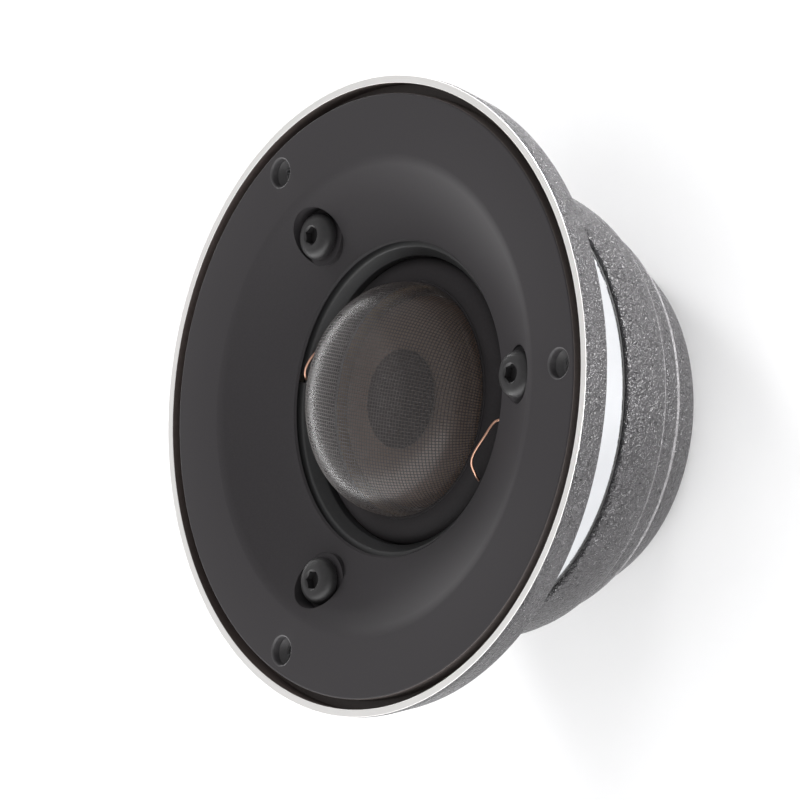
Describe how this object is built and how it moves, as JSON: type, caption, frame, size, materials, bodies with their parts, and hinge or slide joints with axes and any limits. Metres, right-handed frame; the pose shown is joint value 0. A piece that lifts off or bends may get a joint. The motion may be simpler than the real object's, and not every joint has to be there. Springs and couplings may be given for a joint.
{
  "type": "car tweeter",
  "caption": "Round flush-mount dome tweeter: fabric dome in a shallow waveguide plate, wide flange with a bright edge, polished motor shell and a stepped rear cup.",
  "frame": {"origin": "on the tweeter's axis, in the plane of the rear cup's flat rim, which is its lowest face", "axes": "+Z along the tweeter's axis, out of the dome; +X through one of the three mounting holes"},
  "size_m": [0.076, 0.076, 0.0374],
  "materials": {
    "cast_black": "cast metal with a wrinkled black coat; the flange's front land is machined bright",
    "plate_black": "smooth matt near-black",
    "screw_black": "blackened steel, satin",
    "dome_weave": "fine open weave, dark and slightly translucent",
    "coated_cloth": "sealed black cloth, soft sheen",
    "former_paper": "brown film",
    "coil_wire": "enamelled copper wire",
    "copper_wire": "bare copper",
    "copper_plate": "copper, dull",
    "moulded_black": "moulded, satin",
    "tinned_brass": "tinned",
    "red_insulation": "extruded",
    "black_insulation": "extruded",
    "polished_metal": "polished",
    "zinc_steel": "zinc plated",
    "ferrite": "ground, dark grey",
    "aluminium": "turned",
    "rubber": "matt",
    "felt": "wool felt",
    "board_brown": "phenolic board"
  },
  "bodies": {
    "chassis": {"mounting_flange": "cast_black", "face_plate": "plate_black", "plate_screw_1": "screw_black", "plate_screw_2": "screw_black", "plate_screw_3": "screw_black", "surround": "coated_cloth", "diaphragm_frame": "moulded_black", "solder_tab_left": "tinned_brass", "solder_tab_right": "tinned_brass", "lead_wire_left": "copper_wire", "lead_wire_right": "copper_wire", "hookup_wire_positive": "red_insulation", "hookup_wire_negative": "black_insulation", "motor_shell": "polished_metal", "top_plate": "zinc_steel", "magnet_ring": "ferrite", "shorting_ring": "aluminium", "yoke": "zinc_steel", "copper_cap": "copper_plate", "vent_damper": "felt", "cup_gasket": "rubber", "rear_cup": "cast_black", "cup_screw_1": "screw_black", "cup_screw_2": "screw_black", "cup_screw_3": "screw_black", "felt_pad_1": "felt", "felt_pad_2": "felt", "felt_pad_3": "felt", "terminal_board": "board_brown", "board_rivet_1": "tinned_brass", "board_rivet_2": "tinned_brass", "terminal_positive": "tinned_brass", "terminal_negative": "tinned_brass"},
    "diaphragm": {"dome": "dome_weave", "coil_former": "former_paper", "voice_coil": "coil_wire"}
  },
  "joints": [
    {"name": "diaphragm_stroke", "type": "slide", "parent": "chassis", "child": "diaphragm", "axis": [0, 0, 1], "range_m": [-0.0005, 0.0005], "stiffness_N_per_m": 3000, "deforming": ["surround"]}
  ]
}
